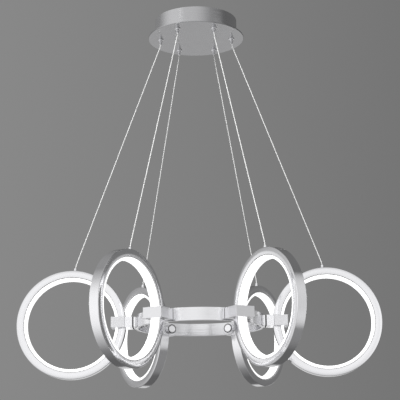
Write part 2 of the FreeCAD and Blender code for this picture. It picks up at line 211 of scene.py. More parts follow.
def rounded(corners, steps=3):
    """An anticlockwise outline of (x, y, radius) corners as points and outward normals.

    Each corner is an arc of its radius, tangent to both sides, at equal angles.
    """
    spots = np.array([c[:2] for c in corners], float)
    points, normals = [], []
    for here, before, after, (_, _, radius) in zip(
            spots, np.roll(spots, 1, 0), np.roll(spots, -1, 0), corners):
        come = (here - before) / np.linalg.norm(here - before)
        go = (after - here) / np.linalg.norm(after - here)
        turn = math.atan2(come[0] * go[1] - come[1] * go[0], come @ go)
        start = math.atan2(-come[0], come[1])
        side = math.copysign(1.0, turn)
        middle = (here - come * radius * math.tan(abs(turn) / 2)
                  - side * radius * np.array([math.cos(start), math.sin(start)]))
        angles = start + turn * np.linspace(0, 1, steps + 1)
        out = np.stack([np.cos(angles), np.sin(angles)], 1)
        points.append(middle + side * radius * out)
        normals.append(out)
    return np.concatenate(points), np.concatenate(normals)


def grid(points, normals, across, wrap_rows, wrap_columns, lengths):
    """A skin from an array of rows and columns of points.

    A face joins each point to its neighbours in the next row and column, and the UV of a corner
    is its row's and column's share of the two lengths in millimetres.
    """
    rows, columns = points.shape[:2]
    r = np.arange(rows if wrap_rows else rows - 1)
    c = np.arange(columns if wrap_columns else columns - 1)
    i, j = (a.ravel() for a in np.meshgrid(r, c, indexing="ij"))
    corners = np.stack([np.stack([i, j], 1), np.stack([i + 1, j], 1),
                        np.stack([i + 1, j + 1], 1), np.stack([i, j + 1], 1)], 1)
    index = (corners[..., 0] % rows) * columns + corners[..., 1] % columns
    total = np.array([rows if wrap_rows else rows - 1, columns if wrap_columns else columns - 1])
    uvs = corners / total * np.array(lengths) * MM
    flat = (a.reshape(-1, 3) for a in (points, normals, across))
    return Skin(*flat, index.tolist(), uvs.reshape(-1, 2))


def outline_length(points, closed=True):
    """The length of an outline of points."""
    ends = np.roll(points, -1, 0) if closed else points[1:]
    return float(np.linalg.norm(ends - points[:len(ends)], axis=1).sum())


def turned(corners, centre, axis, outward, steps, hollow=True, round_steps=3):
    """An outline of (distance from the axis, place along it, radius) carried round the axis.

    A point is centre + distance * spoke(angle) + place * axis, where the spoke turns with the
    angle. A hollow outline is closed in itself. The other kind starts and ends on the axis, with
    a flat lid to its next corner.
    """
    flat, out = rounded(corners, round_steps)
    if not hollow:
        flat, out = flat[round_steps + 1:-round_steps - 1], out[round_steps + 1:-round_steps - 1]
    angle = np.arange(steps) * 2 * math.pi / steps
    side = np.cross(axis, outward)
    spoke = np.cos(angle)[:, None, None] * outward + np.sin(angle)[:, None, None] * side
    points = centre + flat[:, :1] * spoke + flat[:, 1:] * axis
    normals = out[:, :1] * spoke + out[:, 1:] * axis
    around = np.cross(axis, spoke)
    across = np.cross(normals, np.broadcast_to(around, normals.shape))
    round_length = 2 * math.pi * flat[:, 0].max()
    skin = grid(points, normals, across, True, hollow,
                (round_length, outline_length(flat, hollow)))
    if not hollow:
        rows, columns = points.shape[:2]
        lids = []
        for column, turn in ((0, -1), (columns - 1, 1)):
            lids.append([r * columns + column for r in range(rows)][::turn])
        skin = with_lids(skin, lids, axis)
    return skin


def with_lids(skin, lids, axis):
    """The skin with flat many-sided faces added, whose UVs are the points seen along the axis."""
    across = X if abs(axis[0]) < 0.5 else Y
    up = np.cross(axis, across)
    extra = [np.stack([skin.points[lid] @ across, skin.points[lid] @ up], 1) * MM for lid in lids]
    skin.faces = skin.faces + lids
    skin.uvs = np.concatenate([skin.uvs] + extra)
    return skin


def prism(corners, centre, across, up, along, low, high, edge, steps=3, corner_steps=3):
    """A rounded outline in the plane of across and up, carried along the third direction.

    Near each end the outline draws in by edge * (1 - cos t) while it goes edge * sin t further,
    so the rim is a quarter round. A lid closes each end.
    """
    flat, out = rounded(corners, corner_steps)
    quarter = np.linspace(0, math.pi / 2, steps + 1)
    t = np.concatenate([quarter[::-1], -quarter])
    place = edge * np.sin(t) + np.repeat([high - edge, low + edge], steps + 1)
    draw = edge * (1 - np.cos(t))
    spread = flat[None] - out[None] * draw[:, None, None]
    points = centre + spread[..., :1] * across + spread[..., 1:] * up + place[:, None, None] * along
    normals = (np.cos(t)[:, None, None] * (out[None, :, :1] * across + out[None, :, 1:] * up)
               + np.sin(t)[:, None, None] * along)
    grain = np.broadcast_to(along, normals.shape) * 1.0
    skin = grid(points, normals, grain, False, True, (high - low, outline_length(flat)))
    rows, columns = points.shape[:2]
    top = list(range(columns))
    bottom = [(rows - 1) * columns + j for j in range(columns)]
    return with_lids(skin, [bottom[::-1], top], along)


def make_piece(name, skin, finish, body, nodes):
    """A mesh object from the skin, in metres, that stands for the named nodes and rides a body."""
    mesh = bpy.data.meshes.new(name)
    mesh.from_pydata(skin.points * MM, [], skin.faces)
    mesh.polygons.foreach_set("use_smooth", np.ones(len(mesh.polygons), bool))
    layer = mesh.uv_layers.new(name="Surface")
    layer.data.foreach_set("uv", skin.uvs.astype(np.float32).ravel())
    grain = mesh.attributes.new("across", "FLOAT_VECTOR", "POINT")
    grain.data.foreach_set("vector", skin.across.astype(np.float32).ravel())
    mesh.normals_split_custom_set_from_vertices(skin.normals.tolist())
    mesh.materials.append(finish)
    piece = bpy.data.objects.new(name, mesh)
    bpy.context.collection.objects.link(piece)
    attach(piece, body)
    if nodes:
        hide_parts(*nodes)
    return piece


# Materials

# The numbers of the outputs used of Texture Coordinate, and of Geometry
GENERATED, UV, OBJECT = 0, 2, 3
NORMAL, PARAMETRIC = 1, 5


class Val:
    """A shader socket whose sums with other values are written as Python expressions."""

    def __init__(self, finish, socket):
        self.finish, self.socket = finish, socket

    def sum(self, operation, *values):
        """A Math node's value."""
        return self.finish.add("ShaderNodeMath", {"operation": operation}, *values)[0]

    def __add__(self, other):
        return self.sum("ADD", self, other)

    __radd__ = __add__

    def __sub__(self, other):
        return self.sum("SUBTRACT", self, other)

    def __rsub__(self, other):
        return self.sum("SUBTRACT", other, self)

    def __mul__(self, other):
        return self.sum("MULTIPLY", self, other)

    __rmul__ = __mul__

    def __pow__(self, other):
        return self.sum("POWER", self, other)


class Finish:
    """A material, the world or a lamp's light, built node by node."""

    def __init__(self, name, owner=None):
        self.owner = owner or bpy.data.materials.new(name)
        self.owner.use_nodes = True
        self.nodes = self.owner.node_tree.nodes
        self.links = self.owner.node_tree.links
        self.nodes.clear()

    def add(self, kind, settings=None, *values, **named):
        """A node with its settings, then its sockets' values or links by place or by name."""
        node = self.nodes.new(kind)
        settings = dict(settings or {})
        stops = settings.pop("stops", [])
        for key, value in settings.items():
            setattr(node, key, value)
        if stops:
            ramp = node.color_ramp.elements
            while len(ramp) < len(stops):
                ramp.new(0.5)
            for stop, (place, grey) in zip(ramp, stops):
                stop.position = place
                stop.color = (grey, grey, grey, 1)
        for key, value in list(enumerate(values)) + list(named.items()):
            slot = node.inputs[key if isinstance(key, int) else key.replace("_", " ")]
            if isinstance(value, Val):
                self.links.new(value.socket, slot)
            else:
                slot.default_value = value
        return [Val(self, s) for s in node.outputs]

    def noise(self, vector, scale, detail=2.0, roughness=0.5):
        """Smooth noise from 0 to 1."""
        return self.add("ShaderNodeTexNoise", None, Vector=vector, Scale=scale, Detail=detail,
                        Roughness=roughness)[0]

    def stretched(self, vector, scale):
        """The vector times another, place by place."""
        return self.add("ShaderNodeVectorMath", {"operation": "MULTIPLY"}, vector, scale)[0]

    def tinted(self, low, high, factor):
        """A colour between two colours."""
        node = self.nodes.new("ShaderNodeMix")
        node.data_type = "RGBA"
        node.inputs["A"].default_value = (*low, 1)
        node.inputs["B"].default_value = (*high, 1)
        self.links.new(factor.socket, node.inputs["Factor"])
        return Val(self, node.outputs["Result"])

    def close(self, **sockets):
        """The shader and the output, with the given sockets."""
        shader = self.add("ShaderNodeBsdfPrincipled", None, **sockets)[0]
        self.add("ShaderNodeOutputMaterial", None, Surface=shader)
        return self.owner


def grey(value):
    """A neutral colour."""
    return (value, value, value * 1.022)


def brushed(name, light, dark, rough, spread, level=False, fine=4200.0, long=26.0):
    """Metal brushed along its U direction, or levelly round the lamp's axis.

    Streaks are noise that is long along the grain and fine across it. They tilt the normal
    across the grain, and shift roughness and colour a little, with broad soft patches over them.
    """
    f = Finish(name)
    place = f.add("ShaderNodeTexCoord")
    if level:
        lines = f.stretched(place[OBJECT], (long, long, fine))
        across = (0.0, 0.0, 1.0)
    else:
        lines = f.stretched(place[UV], (long, fine, 1.0))
        across = f.add("ShaderNodeAttribute", {"attribute_name": "across"})[1]
    streak = f.noise(lines, 1.0, 3.0, 0.6)
    broad = f.noise(place[OBJECT], 22.0, 3.0)
    normal = f.add("ShaderNodeNewGeometry")[NORMAL]
    tilt = (streak - 0.5) * spread
    leaning = f.add("ShaderNodeVectorMath", {"operation": "SCALE"}, across, Scale=tilt)[0]
    bent = f.add("ShaderNodeVectorMath", {"operation": "ADD"}, normal, leaning)[0]
    bent = f.add("ShaderNodeVectorMath", {"operation": "NORMALIZE"}, bent)[0]
    return f.close(Base_Color=f.tinted(dark, light, streak * 0.85 + broad * 0.15), Metallic=1.0,
                   Roughness=rough + (streak - 0.5) * 0.12 + (broad - 0.5) * 0.02, Normal=bent)


def polished(name, colour, rough):
    """Polished metal with faint soft marks in its gloss."""
    f = Finish(name)
    place = f.add("ShaderNodeTexCoord")[OBJECT]
    marks = f.noise(place, 260.0, 4.0, 0.6)
    darker = tuple(c * 0.94 for c in colour)
    return f.close(Base_Color=f.tinted(darker, colour, marks), Metallic=1.0,
                   Roughness=rough + (marks - 0.5) * 0.06)


def blasted(name, colour, rough, grain=900.0, depth=0.25):
    """Metal with a fine even grain from blasting, as bump, roughness and colour."""
    f = Finish(name)
    place = f.add("ShaderNodeTexCoord")[OBJECT]
    grains = f.noise(place, grain, 2.0, 0.6)
    patch = f.noise(place, 60.0, 2.0)
    bump = f.add("ShaderNodeBump", None, Strength=depth, Distance=0.0002, Height=grains)[0]
    darker = tuple(c * 0.86 for c in colour)
    return f.close(Base_Color=f.tinted(darker, colour, grains * 0.7 + patch * 0.3), Metallic=1.0,
                   Roughness=rough + (patch - 0.5) * 0.08, Normal=bump)


def moulded(name, colour, rough=0.45):
    """Moulded plastic: a fine spark texture and slight unevenness of colour."""
    f = Finish(name)
    place = f.add("ShaderNodeTexCoord")[OBJECT]
    sparks = f.noise(place, 1400.0, 2.0)
    patch = f.noise(place, 35.0, 3.0)
    bump = f.add("ShaderNodeBump", None, Strength=0.15, Distance=0.0002, Height=sparks)[0]
    darker = tuple(c * 0.9 for c in colour)
    return f.close(Base_Color=f.tinted(darker, colour, patch), Roughness=rough + sparks * 0.1,
                   Normal=bump)


def lit_opal():
    """Opal plastic lit from behind: white and even, with painted shade, a dark line in glow and
    colour, where it enters the channel.

    r is the distance from the ring's own axis. It is worked out for the bar's sides, which lie
    BAR_HALF off the upright plane through the lamp's axis, so that u ** 2 is less than the level
    distance's square by BAR_HALF ** 2.
    """
    f = Finish("lit_opal")
    place = f.add("ShaderNodeTexCoord")[OBJECT]
    haze = f.noise(place, 45.0, 2.0)
    level = f.stretched(place, (1 / MM, 1 / MM, 0.0))
    square = f.add("ShaderNodeVectorMath", {"operation": "DOT_PRODUCT"}, level, level)[1]
    height = f.add("ShaderNodeSeparateXYZ", None, place)[2] * (1 / MM) - RING_Z
    r = (((square - BAR_HALF ** 2) ** 0.5 - RING_CENTRE) ** 2 + height ** 2) ** 0.5
    # painted shade: glow and colour turn dark near the channel's lip
    lip = f.add("ShaderNodeValToRGB", {"stops": [(0.0, 1.0), (LIP_SOFT, 0.0)]},
                r - (CHANNEL_RADIUS - LIP_SHADE))[0]
    glow = f.tinted((LIP_SHADE_GLOW, LIP_SHADE_GLOW, LIP_SHADE_GLOW), (1.0, 1.0, 1.0), lip * (haze * 0.03 + 0.97))
    body = f.tinted((LIP_SHADE_COLOUR, LIP_SHADE_COLOUR, LIP_SHADE_COLOUR), (0.9, 0.9, 0.9), lip)
    return f.close(Base_Color=body, Roughness=0.35 + haze * 0.08,
                   Emission_Color=glow, Emission_Strength=0.92)


def cable_finish():
    """A thin off-white sheath over twisted strands: slanting ridges along the cable."""
    f = Finish("cable_sheath")
    uv = f.add("ShaderNodeTexCoord")[UV]
    lay = f.add("ShaderNodeTexWave", {"wave_type": "BANDS", "bands_direction": "DIAGONAL"},
                Vector=f.stretched(uv, (1100.0, 3.0, 1.0)), Scale=1.0, Distortion=0.6)[1]
    bump = f.add("ShaderNodeBump", None, Strength=0.15, Distance=0.0001, Height=lay)[0]
    return f.close(Base_Color=f.tinted((0.92, 0.92, 0.91), (0.97, 0.97, 0.96), lay),
                   Roughness=0.4, Normal=bump)


def strip_finish():
    """A light strip's board: white with a warm coating in dots along it."""
    f = Finish("light_strip")
    place = f.add("ShaderNodeTexCoord")[OBJECT]
    cells = f.add("ShaderNodeTexVoronoi", None, Vector=place, Scale=180.0)[0]
    return f.close(Base_Color=f.tinted((0.9, 0.8, 0.4), (0.92, 0.92, 0.9), cells), Roughness=0.5)


RING_METAL = brushed("ring_metal", grey(0.95), grey(0.89), 0.13, 0.06)
BAND_METAL = brushed("brushed_band", grey(0.93), grey(0.8), 0.22, 0.16, True, 700.0, 12.0)
CANOPY_METAL = brushed("brushed_canopy", grey(0.68), grey(0.48), 0.28, 0.3, True, 800.0, 12.0)
DISC_METAL = blasted("satin_disc", grey(0.52), 0.22, 700.0, 0.04)
CLAMP_METAL = blasted("satin_clamp", grey(0.94), 0.34, 420.0, 0.35)
BLOCK_METAL = blasted("polished_clamp", grey(0.97), 0.2, 900.0, 0.06)
CHROME = polished("chrome_fitting", grey(0.95), 0.06)
STEEL = polished("screw_steel", grey(0.62), 0.3)
ZINC = blasted("zinc_plate", grey(0.62), 0.38, 120.0, 0.1)
OPAL = lit_opal()
CABLE = cable_finish()
# Dark rubber used only as painted shadow: the strips in the saddle gaps and the rings round the
# knobs
SHADOW_RUBBER = moulded("shadow_rubber", (0.035, 0.035, 0.036), 0.6)


# Camera: it stands below the lamp and looks up at it

LENS = 108.7
SENSOR = 36.0
CAMERA_SPOT = (0.0212, -2.6410, -1.0490)
CAMERA_PITCH = math.radians(13.272)
CAMERA_YAW = math.radians(-0.361)
CAMERA_ROLL = math.radians(-0.724)


def make_camera():
    """The camera from its place, its heading, and a small roll about the line of sight."""
    heading = np.array([math.sin(CAMERA_YAW) * math.cos(CAMERA_PITCH),
                        math.cos(CAMERA_YAW) * math.cos(CAMERA_PITCH), math.sin(CAMERA_PITCH)])
    right = np.array([math.cos(CAMERA_YAW), -math.sin(CAMERA_YAW), 0.0])
    up = np.cross(right, heading)
    rolled = math.cos(CAMERA_ROLL) * right + math.sin(CAMERA_ROLL) * up
    top = -math.sin(CAMERA_ROLL) * right + math.cos(CAMERA_ROLL) * up
    data = bpy.data.cameras.new("camera")
    data.lens, data.sensor_width = LENS, SENSOR
    camera = bpy.data.objects.new("camera", data)
    frame_axes = np.eye(4)
    frame_axes[:3, :3] = np.stack([rolled, top, -heading], 1)
    frame_axes[:3, 3] = CAMERA_SPOT
    camera.matrix_world = Matrix(frame_axes.tolist())
    bpy.context.collection.objects.link(camera)
    bpy.context.scene.camera = camera


make_camera()


# Suspension cables

def cable_points():
    """The cable's route at angle 0, as places in u and height.

    It has the model's points, and one near each end that keeps the long run straight.
    """
    bottom = np.array([FEED_U, FERRULE_TOP + CABLE_BEND])
    top = np.array([GRIPPER_CIRCLE, TIP_Z - CABLE_BEND])
    slope = (top - bottom) / np.linalg.norm(top - bottom)
    return [(CABLE_START_U, CABLE_LEVEL), (GRIPPER_CIRCLE, CABLE_LEVEL), tuple(top),
            tuple(top - slope * CABLE_STRAIGHT), tuple(bottom + slope * CABLE_STRAIGHT),
            tuple(bottom), (FEED_U, FEED_Z - CABLE_END)]


def suspension_cables():
    """Each cable is one smooth curve through its gripper, taut from there to its ferrule."""
    route = cable_points()
    for k in range(1, RINGS + 1):
        name = "suspension_cable_dressed_" + str(k)
        curve = bpy.data.curves.new(name, "CURVE")
        curve.dimensions = "3D"
        curve.bevel_depth = CABLE_RADIUS * MM
        curve.bevel_resolution = 3
        curve.resolution_u = 12
        curve.use_fill_caps = True
        spline = curve.splines.new("NURBS")
        spline.points.add(len(route) - 1)
        turn = ring_turn(k)
        for point, (u, z) in zip(spline.points, route):
            point.co = (*(turn @ np.array([u, 0.0, z]) * MM), 1.0)
        spline.order_u = 3
        spline.use_endpoint_u = True
        curve.materials.append(CABLE)
        cable = bpy.data.objects.new(name, curve)
        bpy.context.collection.objects.link(cable)
        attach(cable, "root")
        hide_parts("suspension_cable_" + str(k))


suspension_cables()


# Light rings

# A normal whose cosine to the axis is above this belongs to a flat side
FLAT_COSINE = 0.99


def crowned(skin, axis, centre, low, high, lean):
    """Leans the normals of a turned skin's flat sides: inwards at low, outwards at high.

    A normal n that lies along the axis becomes n + s * spoke, where s runs evenly from -lean to
    lean between the two radii.
    """
    arm = skin.points - centre
    arm = arm - (arm @ axis)[:, None] * axis
    radius = np.linalg.norm(arm, axis=1)
    share = np.clip((radius - low) / (high - low), 0, 1) * 2 - 1
    flat = np.abs(skin.normals @ axis) > FLAT_COSINE
    bent = skin.normals + np.where(flat, share * lean, 0.0)[:, None] * arm / radius[:, None]
    skin.normals = bent / np.linalg.norm(bent, axis=1)[:, None]
    return skin


def light_rings():
    """Housings and diffusers: outlines of ring radius and width carried round the ring's axis."""
    half = RING_WIDTH / 2
    inside = half - RING_WALL
    mouth, rim, inner, front, back = 0.6, 0.35, 0.15, 1.6, 0.2
    centre = np.array([RING_CENTRE, 0.0, RING_Z])
    channel = turned([
        (CHANNEL_RADIUS, -half, mouth), (RING_RADIUS - RING_BEVEL, -half, rim),
        (RING_RADIUS, RING_BEVEL - half, rim), (RING_RADIUS, half - RING_BEVEL, rim),
        (RING_RADIUS - RING_BEVEL, half, rim), (CHANNEL_RADIUS, half, mouth),
        (CHANNEL_RADIUS, inside, inner), (RING_RADIUS - RING_WEB, inside, inner),
        (RING_RADIUS - RING_WEB, -inside, inner), (CHANNEL_RADIUS, -inside, inner)],
        centre, Y, X, RING_STEPS)
    channel = crowned(channel, Y, centre, CHANNEL_RADIUS, RING_RADIUS, RING_LEAN)
    bar = turned([(DIFFUSER_RADIUS, -BAR_HALF, front), (BAR_RADIUS, -BAR_HALF, back),
                  (BAR_RADIUS, BAR_HALF, back), (DIFFUSER_RADIUS, BAR_HALF, front)],
                 centre, Y, X, RING_STEPS, round_steps=5)
    for k in range(1, RINGS + 1):
        make_piece("light_ring_channel_" + str(k), channel.placed(k), RING_METAL,
                   "root", ["ring_housing_" + str(k)])
        make_piece("light_ring_diffuser_" + str(k), bar.placed(k), OPAL,
                   "root", ["ring_diffuser_" + str(k)])


light_rings()


# Hub band and clamps

def hub_band():
    """The band: a flat upright outline with soft edges carried round the lamp's axis."""
    half, soft = HUB_HEIGHT / 2, 0.6
    inner = HUB_RADIUS - HUB_THICKNESS
    return turned([(inner, HUB_Z - half, soft), (HUB_RADIUS, HUB_Z - half, soft),
                   (HUB_RADIUS, HUB_Z + half, soft), (inner, HUB_Z + half, soft)],
                  np.zeros(3), Z, X, HUB_STEPS)


def upright(outline, height, edge, corner_steps=3):
    """A prism that stands at the hub's level, half its height above and half below."""
    return prism(outline, np.zeros(3), X, Y, Z, HUB_Z - height / 2, HUB_Z + height / 2, edge,
                 corner_steps=corner_steps)


def saddle():
    """A box with rounded edges, whose back is an arc round the lamp's axis that fits the band."""
    half = SADDLE_WIDTH / 2
    seat = HUB_RADIUS + SADDLE_GAP
    soft, fine = 0.6, 0.02
    arc = [(math.sqrt(seat ** 2 - v ** 2), v, soft if abs(v) == half else fine)
           for v in np.linspace(half, -half, SADDLE_STEPS + 1)]
    outline = [(SADDLE_U, -half, soft), (SADDLE_U, half, soft)] + arc
    return upright(outline, SADDLE_HEIGHT, 0.5, corner_steps=1)


# A clamp's points this near the slot's floor along u belong to it
FLOOR_REACH = 1.2


def follow_ring(skin, radius, chosen):
    """Shifts the chosen points along u onto a circle of the radius about the ring's centre."""
    height = skin.points[:, 2] - RING_Z
    lag = radius - np.sqrt(radius ** 2 - height ** 2)
    skin.points[:, 0] += np.where(chosen, lag, 0.0)
    return skin


def rear_block():
    """A box with a slot in front for the ring, whose floor keeps to the ring's curve."""
    half, slot = BLOCK_WIDTH / 2, RING_WIDTH / 2 + CLAMP_GAP
    front = PARTING_U - PARTING_GAP
    seat = RING_RADIUS + CLAMP_GAP
    floor = RING_CENTRE - seat
    back, soft, inner = 0.7, 0.5, 0.1
    outline = [(BLOCK_U, -half, back), (front, -half, soft), (front, -slot, soft),
               (floor, -slot, inner), (floor, slot, inner),
               (front, slot, soft), (front, half, soft), (BLOCK_U, half, back)]
    skin = upright(outline, CLAMP_HEIGHT, 0.4)
    chosen = ((np.abs(skin.points[:, 1]) < slot + 0.05)
              & (np.abs(skin.points[:, 0] - floor) < FLOOR_REACH))
    return follow_ring(skin, seat, chosen)


def front_cover():
    """A U that the ring passes through: its inner end keeps to the diffuser's curve."""
    half, slot = COVER_WIDTH / 2, RING_WIDTH / 2 + CLAMP_GAP
    floor = RING_CENTRE - DIFFUSER_RADIUS + CLAMP_GAP
    soft, end, inner = 0.6, 0.9, 0.3
    outline = [(PARTING_U, -half, soft), (COVER_END_U, -half, end), (COVER_END_U, half, end),
               (PARTING_U, half, soft), (PARTING_U, slot, soft), (floor, slot, inner),
               (floor, -slot, inner), (PARTING_U, -slot, soft)]
    skin = upright(outline, CLAMP_HEIGHT, 0.5)
    chosen = ((np.abs(skin.points[:, 1]) < slot + 0.8)
              & (np.abs(skin.points[:, 0] - floor) < FLOOR_REACH))
    return follow_ring(skin, DIFFUSER_RADIUS - CLAMP_GAP, chosen)


def knob():
    """A polished button: a shallow dish inside a rim, turned about the stud's line."""
    front, back = KNOB_FRONT_U, KNOB_FACE_U
    r, dish, rim, bevel = (share * KNOB_RADIUS for share in (1, 0.66, 0.72, 0.8))
    fine, soft, shoulder = 0.25, 0.3, 0.5
    outline = [(0.0, front + KNOB_DISH, 0.0), (dish, front + KNOB_DISH, fine),
               (rim, front, fine), (bevel, front, soft), (r, front + KNOB_BEVEL, shoulder),
               (r, back, soft), (0.0, back, 0.0)]
    return turned(outline, np.array([0.0, 0.0, HUB_Z]), X, Z, 72, hollow=False)


def knob_ring():
    """A round dark ring set in the knob's bevel, as painted shadow round the knob: a circle turned
    about the stud's line.
    """
    radius, place, wire, soft = KNOB_RADIUS * 0.93, KNOB_FRONT_U + 0.8, 0.9, 0.1
    spots = [(radius + wire * math.cos(a), place + wire * math.sin(a), soft)
             for a in np.linspace(0, 2 * math.pi, 12, endpoint=False)]
    return turned(spots, np.array([0.0, 0.0, HUB_Z]), X, Z, 60, round_steps=1)


def pads():
    """Two thin dark strips either side of the stud's collar, in the gap from saddle to block, as
    painted shadow for that gap.
    """
    end, soft = SADDLE_WIDTH / 2 - PAD_INSET, 0.3
    back, front = SADDLE_U + PAD_GAP, BLOCK_U - PAD_GAP
    both = []
    for low, high in ((-end, -PAD_START), (PAD_START, end)):
        outline = [(back, low, soft), (front, low, soft), (front, high, soft), (back, high, soft)]
        both.append(upright(outline, SADDLE_HEIGHT - 2 * PAD_INSET, 0.2))
    return joined(both)


def hub_and_clamps():
    """The band, and its saddles, dark strips of painted shadow in the saddle gaps, rear blocks,
    covers, knobs, and dark rings of painted shadow round the knobs.
    """
    make_piece("hub_band", hub_band(), BAND_METAL, "root", ["hub_ring"])
    make_piece("saddles", all_round(saddle()), BLOCK_METAL, "root",
               ["hub_saddles"])
    make_piece("rear_blocks", all_round(rear_block()), BLOCK_METAL, "root",
               ["clamp_blocks"])
    # painted shadow: dark strips in the gaps between saddles and blocks
    make_piece("clamp_gap_shadows", all_round(pads()), SHADOW_RUBBER, "root", [])
    cover, button, ring = front_cover(), knob(), knob_ring()
    for k in range(1, RINGS + 1):
        make_piece("front_cover_" + str(k), cover.placed(k), CLAMP_METAL, "root",
                   ["clamp_cover_" + str(k)])
        make_piece("locking_knob_" + str(k), button.placed(k), CHROME,
                   "knob_" + str(k), ["knob_" + str(k)])
        # painted shadow: a dark ring round each knob
        make_piece("knob_ring_" + str(k), ring.placed(k), SHADOW_RUBBER,
                   "knob_" + str(k), [])


hub_and_clamps()


# Grippers and ferrules

GRIPPER_AXIS = np.array([GRIPPER_CIRCLE, 0.0, 0.0])


def gripper_body():
    """A turned body: domed flange, waist and barrel below the disc, and its shank above."""
    dome, waist, brim, crisp, shank, fine, mouth = 1.1, 0.3, 0.6, 0.2, 0.4, 0.1, 0.15
    return turned([
        (BORE_RADIUS, BARREL_Z, mouth), (BARREL_RADIUS, BARREL_Z, dome),
        (BARREL_RADIUS, FLANGE_Z, waist), (FLANGE_RADIUS, FLANGE_Z, brim),
        (FLANGE_RADIUS, -CANOPY_DEPTH, crisp), (SHANK_RADIUS, -CANOPY_DEPTH, crisp),
        (SHANK_RADIUS, BODY_TOP_Z, shank), (CABLE_BORE, BODY_TOP_Z, fine),
        (CABLE_BORE, SPRING_TOP_Z, fine), (BORE_RADIUS, SPRING_TOP_Z, fine)],
        GRIPPER_AXIS, Z, X, 48)


def plunger():
    """The release plunger with a rounded nose, bored for the cable."""
    mouth, nose, tail, fine = 0.15, 0.8, 0.2, 0.1
    return turned([
        (CABLE_BORE, TIP_Z, mouth), (PLUNGER_RADIUS, TIP_Z, nose),
        (PLUNGER_RADIUS, PLUNGER_TOP_Z, tail), (CABLE_BORE, PLUNGER_TOP_Z, fine)],
        GRIPPER_AXIS, Z, X, 40)


def spring():
    """A coil of round wire between the plunger's tail and the body.

    Its middle line is (r cos a, r sin a, z), where z rises evenly with the angle a, and the
    wire is a circle round that line, drawn in the plane of the spoke and the lamp's axis.
    """
    low, high = PLUNGER_TOP_Z + SPRING_WIRE + SPRING_GAP, SPRING_TOP_Z - SPRING_WIRE
    a = np.linspace(0, 2 * math.pi * SPRING_TURNS, 24 * SPRING_TURNS + 1)[:, None, None]
    b = np.linspace(0, 2 * math.pi, 8, endpoint=False)[None, :, None]
    spoke = np.cos(a) * X + np.sin(a) * Y
    normals = np.cos(b) * spoke + np.sin(b) * Z
    middle = SPRING_RADIUS * spoke + (low + (high - low) * a / a.max()) * Z
    points = GRIPPER_AXIS + middle + SPRING_WIRE * normals
    return grid(points, normals, np.broadcast_to(Z, points.shape) * 1.0, False, True,
                (2 * math.pi * SPRING_RADIUS * SPRING_TURNS, 2 * math.pi * SPRING_WIRE))


def ferrule():
    """A turned ferrule whose foot is moved onto the ring's round outside."""
    low, rim = FEED_Z - FERRULE_FOOT, FERRULE_TOP - 0.2
    collar, shoulder = FEED_Z + FERRULE_COLLAR, FEED_Z + FERRULE_SHOULDER
    fine, soft, dome, mouth = 0.1, 0.3, 0.7, 0.2
    skin = turned([
        (FERRULE_BORE, low, fine), (FERRULE_RADIUS, low, fine),
        (FERRULE_RADIUS, collar, soft), (FERRULE_NECK, shoulder, soft),
        (FERRULE_NECK, rim, dome), (FERRULE_BORE, FERRULE_TOP, mouth)],
        np.array([FEED_U, 0.0, 0.0]), Z, X, 40)
    seat = RING_Z + np.sqrt(RING_RADIUS ** 2 - (skin.points[:, 0] - RING_CENTRE) ** 2)
    foot = skin.points[:, 2] < FEED_Z + FERRULE_FOOT
    skin.points[:, 2] = np.where(foot, seat + FERRULE_GAP, skin.points[:, 2])
    return skin


def cable_fittings():
    """The grippers with their plungers and springs, and the rings' ferrules."""
    make_piece("grippers", all_round(gripper_body()), CHROME, "root",
               ["gripper_bodies"])
    make_piece("ferrules", all_round(ferrule()), CHROME, "root",
               ["cable_ferrules"])
    nose, coil = plunger(), spring()
    for k in range(1, RINGS + 1):
        body = "gripper_plunger_" + str(k)
        make_piece("release_plunger_" + str(k), nose.placed(k), CHROME, body,
                   [body])
        turns = make_piece("return_spring_" + str(k), coil.placed(k), STEEL, "root",
                           ["gripper_spring_" + str(k)])
        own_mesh(turns)


cable_fittings()


def set_screw():
    """A turned screw whose round socket is then drawn in to a hexagon.

    At an angle w from the middle of a side, a hexagon is cos 30 / cos w times as far out as its
    corners, and its sides face the axis.
    """
    r, end = SET_SCREW_RADIUS, CUP_RADIUS
    start, floor = end - SET_SCREW_LENGTH, end - SOCKET_DEPTH
    tip, rim, mouth, fine = 0.4, 0.25, 0.1, 0.05
    centre = np.array([0.0, 0.0, -SET_SCREW_DEPTH])
    skin = turned([
        (0.0, start, 0.0), (r, start, tip), (r, end, rim), (SOCKET_RADIUS, end, mouth),
        (SOCKET_RADIUS, floor, fine), (0.0, floor, 0.0)], centre, X, Z, 72, hollow=False)
    arm = (skin.points - centre)[:, 1:]
    far = np.linalg.norm(arm, axis=1)
    angle = np.arctan2(arm[:, 0], arm[:, 1])
    sixth = math.pi / 3
    w = (angle + sixth / 2) % sixth - sixth / 2
    inside = far < SOCKET_RADIUS + mouth * 1.1
    drawn = np.where(inside, math.cos(sixth / 2) / np.cos(w), 1.0)
    skin.points[:, 1:] = centre[1:] + arm * drawn[:, None]
    outward = (skin.normals[:, 1:] * arm).sum(1) / far
    facing = angle - np.where(inside, w, 0.0)
    skin.normals[:, 1:] = outward[:, None] * np.stack([np.sin(facing), np.cos(facing)], 1)
    return skin


def set_screws():
    """One set screw on each side of the canopy, across from each other."""
    screw = set_screw()
    make_piece("set_screws", joined([screw, screw.mapped(about_z(180))]), STEEL,
               "root", ["canopy_set_screws"])


set_screws()


# Finishes of the nodes that keep their own shape

